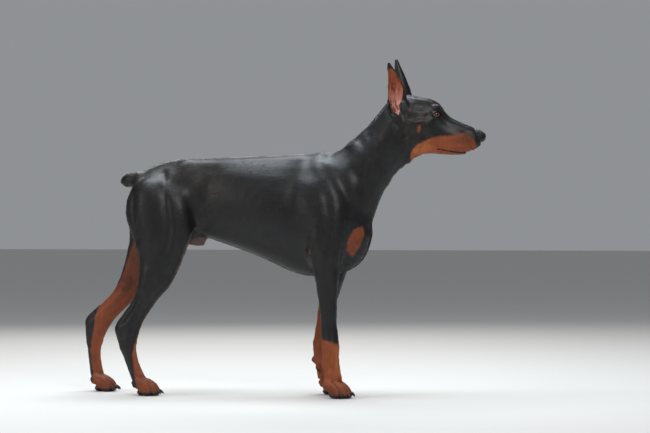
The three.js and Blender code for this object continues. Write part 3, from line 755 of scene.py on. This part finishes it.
class Finish:
    """A material with one main shader."""

    def __init__(self, name, **settings):
        self.material = bpy.data.materials.new(name)
        self.material.use_nodes = True
        self.tree = self.material.node_tree
        self.shader = self.tree.nodes["Principled BSDF"]
        for socket, value in settings.items():
            self.fill(self.shader.inputs[socket.replace("_", " ")], value)

    def fill(self, socket, value):
        if isinstance(value, Socket):
            self.tree.links.new(value.link, socket)
        else:
            socket.default_value = value

    def node(self, kind, settings=None, out=0, **inputs):
        node = self.tree.nodes.new("ShaderNode" + kind)
        for key, value in (settings or {}).items():
            setattr(node, key, value)
        for key, value in inputs.items():
            self.fill(node.inputs[key.replace("_", " ")], value)
        return Socket(self.tree, node.outputs[out])

    def places(self, scale=(1, 1, 1)):
        return self.node("Mapping", Vector=self.node("TexCoord", out="Object"), Scale=scale)

    def noise(self, scale, detail=3.0, stretched=(1, 1, 1)):
        spots = self.places(stretched)
        return self.node("TexNoise", Vector=spots, Scale=scale, Detail=detail, Roughness=0.55)

    def attribute(self, name):
        return self.node("Attribute", {"attribute_name": name}, out="Fac")

    def mix(self, share, a, b):
        node = self.tree.nodes.new("ShaderNodeMix")
        node.data_type = "RGBA"
        for socket, value in ((node.inputs[0], share), (node.inputs[6], a), (node.inputs[7], b)):
            self.fill(socket, value)
        return Socket(self.tree, node.outputs[2])

    def give(self, **inputs):
        for key, value in inputs.items():
            self.fill(self.shader.inputs[key.replace("_", " ")], value)
        return self.material


BLACK_HAIR = (0.0058, 0.0060, 0.0074, 1)
# Brown black, for random patches and for the painted sheen.
BLACK_BROWN_AND_SHEEN = (0.018, 0.0135, 0.011, 1)
RUST_HAIR = (0.235, 0.052, 0.013, 1)
RUST_PALE = (0.46, 0.135, 0.042, 1)
RUST_DARK = (0.085, 0.019, 0.008, 1)
EAR_SKIN = (0.50, 0.20, 0.155, 1)
GUM = (0.22, 0.085, 0.07, 1)
BARE_SKIN = (0.10, 0.055, 0.048, 1)
PAD_SKIN = (0.016, 0.015, 0.015, 1)
coat = Finish("coat", Roughness=0.42, Specular_IOR_Level=0.36, Sheen_Weight=0.02, Sheen_Roughness=0.35)

# Black or rust by the markings, broken up hair by hair at their edges.
ragged = coat.noise(260, 4, (1, 1, 0.45)) - 0.5
blotch = coat.noise(24) - 0.5
tone = coat.noise(90, 4, (1, 1, 0.4))
rust_share = (coat.attribute("rust") + ragged * 0.8 + blotch * 0.3).band(0.22, 0.78)
pale_share = (tone.band(0.4, 0.85) * 0.5 + coat.attribute("pale") * 0.75).clamp()
# Darker rust: smoky in random patches and by the markings, and painted shade on the hind legs.
smoke_and_shade_share = (coat.noise(16) + ragged * 0.3).band(0.5, 0.75) * 0.45 + coat.attribute("smoke_and_painted_shade") * 0.8
# The black turns brown in random patches, and a painted warm sheen stands in for a highlight on the cheek and
# rump.
brown_and_painted_sheen_share = (tone.band(0.45, 0.8) * 0.6 + coat.attribute("painted_sheen") * (tone + 0.2)).clamp()
warm = coat.mix((smoke_and_shade_share + (tone - 0.5) * 0.5).clamp(), coat.mix(pale_share, RUST_HAIR, RUST_PALE), RUST_DARK)
colour = coat.mix(rust_share, coat.mix(brown_and_painted_sheen_share, BLACK_HAIR, BLACK_BROWN_AND_SHEEN), warm)

# Thin-haired pink and rust in the ear cups, with darker veins and painted shade in the grooves between the
# folds, and then the bare skin.
ear_share = (coat.attribute("ear_in") + (coat.noise(120, 4, (1, 1, 0.3)) - 0.5) * 0.5).band(0.3, 0.7)
veins = coat.noise(150, 5, (1, 1, 0.22))
height = coat.node("SeparateXYZ", out=2, Vector=coat.places())
ear_tone = coat.mix((height.band(0.835, 0.905) + veins - 0.35).clamp(), EAR_SKIN, RUST_HAIR)
ear_tone = coat.mix((veins + coat.noise(60) * 0.6).band(0.78, 1.0) * 0.8, ear_tone, RUST_DARK)
# Painted shade in the grooves of the ear folds.
ear_tone = coat.mix(coat.attribute("painted_fold_shade").band(0.25, 0.8) * 0.92, ear_tone, RUST_DARK)
colour = coat.mix(ear_share, colour, ear_tone)
colour = coat.mix(coat.attribute("bare").band(0.3, 0.7) * 0.75, colour, BARE_SKIN)
colour = coat.mix(coat.attribute("lip").band(0.25, 0.6), colour, PAD_SKIN)
colour = coat.mix(coat.attribute("gum").band(0.2, 0.95), colour, GUM)
colour = coat.mix(coat.attribute("pad").band(0.4, 0.6), colour, PAD_SKIN)
strands = coat.noise(900, 2, (0.16, 0.6, 1.0))
clumps = coat.noise(160, 3, (0.3, 0.8, 1.0))
lie = coat.node("Bump", Strength=0.34, Distance=0.0006, Height=strands + clumps * 1.6)
coat.give(Base_Color=colour, Normal=lie, Roughness=rust_share * 0.2 + 0.31 + clumps * 0.16)

skin_object = put("skin", skin_mesh)
skin_mesh.materials.append(coat.material)
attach(skin_object, "root")
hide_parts(*[n for n in FLESH if n not in ("nose", "eye_right", "eye_left")])

# The unwrap of the hide, on which every tuft of the coat has its place.
for other in bpy.context.selected_objects:
    other.select_set(False)
bpy.context.view_layer.objects.active = skin_object
skin_object.select_set(True)
skin_mesh.uv_layers.new(name="OFBake")
bpy.ops.object.mode_set(mode="EDIT")
bpy.ops.mesh.select_all(action="SELECT")
bpy.ops.uv.smart_project(angle_limit=math.radians(66), island_margin=0.002)
bpy.ops.object.mode_set(mode="OBJECT")

# Coat
# Short, hard, glossy hair that grows out of the hide, 3 mm long on the face and up to 11 mm on the trunk.
# It lies flat, back along the body and down the legs, and stands off a little at the crest of the neck,
# the breast, rump, thighs and tail.
TRUNK_TUFTS = 47000
HEAD_TUFTS = 44000
LEG_TUFTS = 45000
TUFT_PATCH = 0.003
dice = np.random.default_rng(7)
skin_mesh.calc_loop_triangles()
corners = read(skin_mesh.loop_triangles, "vertices", 3, int)
corner_loops = read(skin_mesh.loop_triangles, "loops", 3, int)
skin_uv = read(skin_mesh.uv_layers["OFBake"].data, "uv", 2)
edges_out = P[corners[:, 1]] - P[corners[:, 0]], P[corners[:, 2]] - P[corners[:, 0]]
areas = np.linalg.norm(np.cross(*edges_out), axis=1) / 2
N = read(skin_mesh.vertex_normals, "vector", 3)
outer = N[:, 1] * side
up_neck = (P - NECK_ROOT) @ NECK_WAY
on_leg = np.where(x > 0, 1 - ease(z, 330, 420), 1 - ease(z, 380, 520)) * (out_from_middle > 20)
on_neck = ease(up_neck, 0, 70) * (1 - on_head)
ear_zone = ease(z, 792, 812) * ease(out_from_middle, 38, 46) * (x < 394) * (x > 316)
ear_zone = np.maximum(in_ear, ear_zone)


def lie_of_hair():
    """The way the hair lies at each point of the skin."""
    way = np.tile((-1.0, 0.0, -0.30), (len(P), 1))
    for direction, share in (
        ((-0.62, 0.0, -0.78), on_neck),
        ((-0.05, 0.0, -1.0), ease(x, 190, 235) * (1 - on_neck) * (1 - on_head)),
        ((-0.15, 0.0, -1.0), on_leg),
        ((-1.0, 0.0, 0.12), on_head),
        ((0.0, 0.0, 1.0), ear_zone),
    ):
        way += (np.array(direction) - way) * share[:, None]
    way[:, 1] += 0.15 * side * on_head * (1 - ear_zone)
    way -= N * np.sum(way * N, axis=1)[:, None]
    return way / np.maximum(np.linalg.norm(way, axis=1), 1e-6)[:, None]


LIE = lie_of_hair()
bald = np.maximum.reduce([
    lid_black > 0.1, SKIN_MARKS["lip"] > 0.3, pad > 0.3, nose_gap < 3.5, MARKS["bare"] > 0.6, z < 4,
])
stands = np.maximum.reduce([
    ease(up_neck, 20, 80) * (1 - on_head) * ease(N[:, 2] - 0.6 * N[:, 0], 0.5, 1.0),
    mound(from_side_path(P, [(-408, 600), (-404, 520), (-388, 440)]), 18),
    mound(from_path(P, [(284, 0, 500), (262, 0, 420), (225, 0, 366), (140, 0, 340)]), 20),
    mound(from_path(P, [(-170, 0, 440), (-40, 0, 388), (100, 0, 340)]), 14) * 0.8,
    ease(-x, 425, 450) * (z > 560),
    mound(from_side_path(P, [(112, 402)]), 14) * (outer > 0),
])


def tufts(name, count, share, length, width, lift):
    """A piece of the coat: small closed blades rooted over the skin, as thick on the ground as share says."""
    weight = (share * ~bald)[corners].mean(axis=1) * areas
    picks = dice.choice(len(corners), count, p=weight / weight.sum())
    a, b = dice.random((2, count))
    a, b = np.where(a + b > 1, 1 - a, a), np.where(a + b > 1, 1 - b, b)
    parts = np.column_stack([1 - a - b, a, b])

    def at_root(values):
        return np.einsum("ij,ij...->i...", parts, values[corners[picks]])

    root, normal, way = at_root(P), at_root(N), at_root(LIE)
    normal /= np.linalg.norm(normal, axis=1)[:, None]
    across = np.cross(normal, way)
    across /= np.maximum(np.linalg.norm(across, axis=1), 1e-6)[:, None]
    way = way + across * dice.normal(0, 0.16, count)[:, None]
    long = (at_root(length) * dice.uniform(0.7, 1.2, count))[:, None]
    wide = (width * dice.uniform(0.7, 1.3, count))[:, None]
    high = (at_root(lift) * dice.uniform(0.4, 1.3, count))[:, None]
    foot = root - normal * 0.3
    ridge = root + way * long * 0.3 + normal * (0.12 + high * 0.35)
    tip = root + way * long + normal * high
    blade = np.stack([foot + across * wide, foot - across * wide, ridge, tip], axis=1)
    faces = np.array([[0, 1, 2], [0, 2, 3], [2, 1, 3], [1, 0, 3]])[None] + 4 * np.arange(count)[:, None, None]
    mesh = bpy.data.meshes.new(name)
    mesh.from_pydata(from_dog(blade.reshape(-1, 3)).tolist(), [], faces.reshape(-1, 3).tolist())
    mark(mesh, {key: np.repeat(at_root(values), 4) for key, values in MARKS.items()})
    root_uv = np.einsum("ij,ijk->ik", parts, skin_uv[corner_loops[picks]])
    patch = np.array([[-1, -1], [1, -1], [0, 0.3], [0, 1]]) * TUFT_PATCH / 2
    vertex_uv = (root_uv[:, None, :] + patch[None]).reshape(-1, 2)
    loops = read(mesh.loops, "vertex_index", 1, int)[:, 0]
    mesh.uv_layers.new(name="OFBake").data.foreach_set("uv", vertex_uv[loops].ravel())
    mesh.polygons.foreach_set("use_smooth", np.ones(len(mesh.polygons), bool))
    leaning = normal + dice.normal(0, 0.11, normal.shape)
    mesh.normals_split_custom_set_from_vertices(np.repeat(leaning, 4, axis=0).tolist())
    mesh.materials.append(coat.material)
    made = put(name, mesh)
    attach(made, "root")


trunk_share = (1 - on_head) * (1 - on_leg) * (0.6 + 0.8 * stands)
tufts("coat_trunk", TRUNK_TUFTS, trunk_share, 8.5 + 2.5 * stands, 0.5, 0.38 + 1.2 * stands)
head_share = on_head * (1 - 0.8 * (MARKS["ear_in"] > 0.3))
head_length = (2.9 + 1.6 * ease(-x, -470, -400)) * (1 - 0.4 * ear_zone)
tufts("coat_head", HEAD_TUFTS, head_share, head_length, 0.24, 0.24 - 0.2 * ear_zone)
leg_length = 4.2 + 3.4 * ease(z, 60, 330)
tufts("coat_legs", LEG_TUFTS, on_leg * (1 - on_head), leg_length, 0.34, 0.3 + 0.6 * stands)

# Eyes
# Each eyeball is a wet ball with a black pupil and a brown iris under a clear front that bulges a little. It
# sits in its socket, with the lids drawn over it.
CORNEA_RADIUS = 6.2
CORNEA_BULGE = 0.055
PUPIL_EDGE = (0.0026, 0.0030)
IRIS_EDGE = (0.0072, 0.0086)
PUPIL = (0.002, 0.002, 0.002, 1)
IRIS_LIGHT = (0.115, 0.034, 0.009, 1)
IRIS_DARK = (0.040, 0.012, 0.004, 1)
EYE_WHITE = (0.05, 0.036, 0.03, 1)


def piece_from(bm, name, material):
    """A piece that rides on the dog, made from a form."""
    mesh = bpy.data.meshes.new(name)
    bmesh.ops.recalc_face_normals(bm, faces=bm.faces)
    bm.to_mesh(mesh)
    bm.free()
    mesh.polygons.foreach_set("use_smooth", np.ones(len(mesh.polygons), bool))
    mesh.materials.append(material)
    made = put(name, mesh)
    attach(made, "root")
    return made


for name, left in (("right", -1), ("left", 1)):
    out = Vector(eye_axes(left)[2])
    centre = Vector(from_dog(np.array(EYE_PLACE) * (1, left, 1)))
    ball = bmesh.new()
    bmesh.ops.create_uvsphere(ball, u_segments=48, v_segments=32, radius=EYE_RADIUS / 1000)
    for vert in ball.verts:
        if vert.co.z > 0:
            off_axis = math.hypot(vert.co.x, vert.co.y) * 1000 / CORNEA_RADIUS
            vert.co *= 1 + CORNEA_BULGE * math.exp(-(off_axis ** 4))
    turned = Matrix.Translation(centre) @ out.to_track_quat("Z", "Y").to_matrix().to_4x4()
    bmesh.ops.transform(ball, verts=ball.verts, matrix=turned)
    wet = Finish("eye_" + name, Roughness=0.12, Coat_Weight=0.55, Coat_Roughness=0.02, Specular_IOR_Level=0.3)
    spot = wet.node("TexCoord", out="Object")
    gap = wet.node("VectorMath", {"operation": "DISTANCE"}, out="Value", Vector=spot)
    gap.link.node.inputs[1].default_value = centre + out * (EYE_RADIUS / 1000)
    iris = wet.mix(wet.noise(700).band(0.35, 0.7), IRIS_LIGHT, IRIS_DARK)
    shade = wet.mix(gap.band(*PUPIL_EDGE), PUPIL, iris)
    shade = wet.mix(gap.band(*IRIS_EDGE), shade, EYE_WHITE)
    eye = piece_from(ball, "eyeball_" + name, wet.give(Base_Color=shade))
    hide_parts("eye_" + name)

# Nose
# Black, pebbled, slightly moist leather over the end of the muzzle, grown into the hide round it. It has a
# nostril on each side, a groove down the middle and a wing over each nostril.
NOSE_GRAIN = 0.7
NOSE_SWELL = 0.6
NOSE_RISE = 1.5
LEATHER_DARK = (0.007, 0.007, 0.008, 1)
LEATHER_LIGHT = (0.018, 0.017, 0.018, 1)
nose_bm = merged_copy("nose")
for vert in nose_bm.verts:
    vert.co = Vector(to_dog(vert.co))
bmesh.ops.triangulate(nose_bm, faces=nose_bm.faces)
nose_mesh = bpy.data.meshes.new("nose_form")
nose_bm.to_mesh(nose_mesh)
nose_bm.free()
nose_bm = fused(nose_mesh, NOSE_GRAIN)
all_ways = {"use_axis_x": True, "use_axis_y": True, "use_axis_z": True}
for _ in range(4):
    bmesh.ops.smooth_vert(nose_bm, verts=nose_bm.verts, factor=0.5, **all_ways)
nose_bm.normal_update()


def nose_move(place, normal):
    """How the leather stands off from its plain form."""
    groove = math.exp(-((place.y / 1.3) ** 2)) * (place.x > 590) * (1 if place.z < 746 else 0.3)
    wing = math.exp(-(((abs(place.y) - 14) / 4) ** 2)) * (place.z > 732)
    rear = 1 - max(0.0, min(1.0, (place.x - 578) / 20))
    raised = Vector((0, 0, NOSE_RISE * rear * (place.z > 735)))
    return normal * (NOSE_SWELL - 1.1 * groove + 0.7 * wing) + raised


moved = [vert.co + nose_move(vert.co, vert.normal) for vert in nose_bm.verts]
for vert, place in zip(nose_bm.verts, moved):
    vert.co = Vector(from_dog(place))
leather = Finish("nose_leather", Roughness=0.36, Specular_IOR_Level=0.24, Coat_Weight=0.1, Coat_Roughness=0.3)
pebbles = leather.node("TexVoronoi", {"feature": "DISTANCE_TO_EDGE"}, Vector=leather.places(), Scale=900)
pebble_relief = leather.node("Bump", Strength=0.5, Distance=0.0005, Height=pebbles.band(0.0, 0.35))
tint = leather.mix(leather.noise(300).band(0.4, 0.7), LEATHER_DARK, LEATHER_LIGHT)
leather.give(Base_Color=tint, Normal=pebble_relief)
nose = piece_from(nose_bm, "nose_leather", leather.material)
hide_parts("nose")

# Claws
# Short, blunt, curved black horn that grows out of the toes, four to a foot, and a small one on the inner
# side of each foreleg.
HORN_DARK = (0.012, 0.011, 0.010, 1)
HORN_LIGHT = (0.05, 0.043, 0.036, 1)
horn = Finish("claw_horn", Roughness=0.3, Specular_IOR_Level=0.5)
ridges = horn.noise(1500, 2, (0.1, 1, 0.6))
horn_relief = horn.node("Bump", Strength=0.25, Distance=0.0003, Height=ridges)
horn.give(Base_Color=horn.mix(ridges.band(0.35, 0.75), HORN_DARK, HORN_LIGHT), Normal=horn_relief)
for node in sorted(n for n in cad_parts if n.startswith(("claw", "dewclaw"))):
    claw = bmesh.new()
    claw.from_mesh(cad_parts[node].data)
    bmesh.ops.remove_doubles(claw, verts=claw.verts, dist=WELD)
    bmesh.ops.subdivide_edges(claw, edges=claw.edges, cuts=2, use_grid_fill=True, smooth=0.0)
    for _ in range(3):
        bmesh.ops.smooth_vert(claw, verts=claw.verts, factor=0.5, **all_ways)
    made = piece_from(claw, node + "_horn", horn.material)
    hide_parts(node)

# Floor and light
# A pale matt floor that runs out of sight, under soft light from above and from the camera's side.
floor_bm = bmesh.new()
bmesh.ops.create_grid(floor_bm, x_segments=1, y_segments=1, size=30)
floor_mesh = bpy.data.meshes.new("floor")
floor_bm.to_mesh(floor_mesh)
floor_bm.free()
floor_mesh.materials.append(Finish("floor", Base_Color=(0.62, 0.61, 0.59, 1), Roughness=0.8).material)
floor = put("floor", floor_mesh)


def soft_light(name, place, aim, size, power, colour):
    lamp = bpy.data.lights.new(name, "AREA")
    lamp.shape = "RECTANGLE"
    lamp.size, lamp.size_y = size
    lamp.energy = power
    lamp.color = colour
    made = put(name, lamp)
    made.location = place
    made.rotation_euler = (Vector(aim) - Vector(place)).to_track_quat("-Z", "Y").to_euler()


soft_light("overhead", (-0.3, 0.2, 3.0), (0, 0, 0.5), (3.0, 1.1), 120, (0.86, 0.93, 1.0))
soft_light("key", (1.6, -3.4, 2.9), (0.1, 0, 0.45), (1.5, 1.1), 58, (1.0, 0.97, 0.92))
soft_light("fill", (-3.0, -3.0, 1.6), (-0.1, 0, 0.4), (1.6, 1.6), 26, (1.0, 0.93, 0.85))
soft_light("back", (-1.2, 3.4, 2.4), (0, 0, 0.5), (3.0, 1.2), 55, (1.0, 0.96, 0.9))
world = bpy.data.worlds.new("studio")
bpy.context.scene.world = world
world.use_nodes = True
world.node_tree.nodes["Background"].inputs["Color"].default_value = (0.86, 0.89, 0.93, 1)
world.node_tree.nodes["Background"].inputs["Strength"].default_value = 0.32
bpy.context.scene.view_settings.view_transform = "Standard"
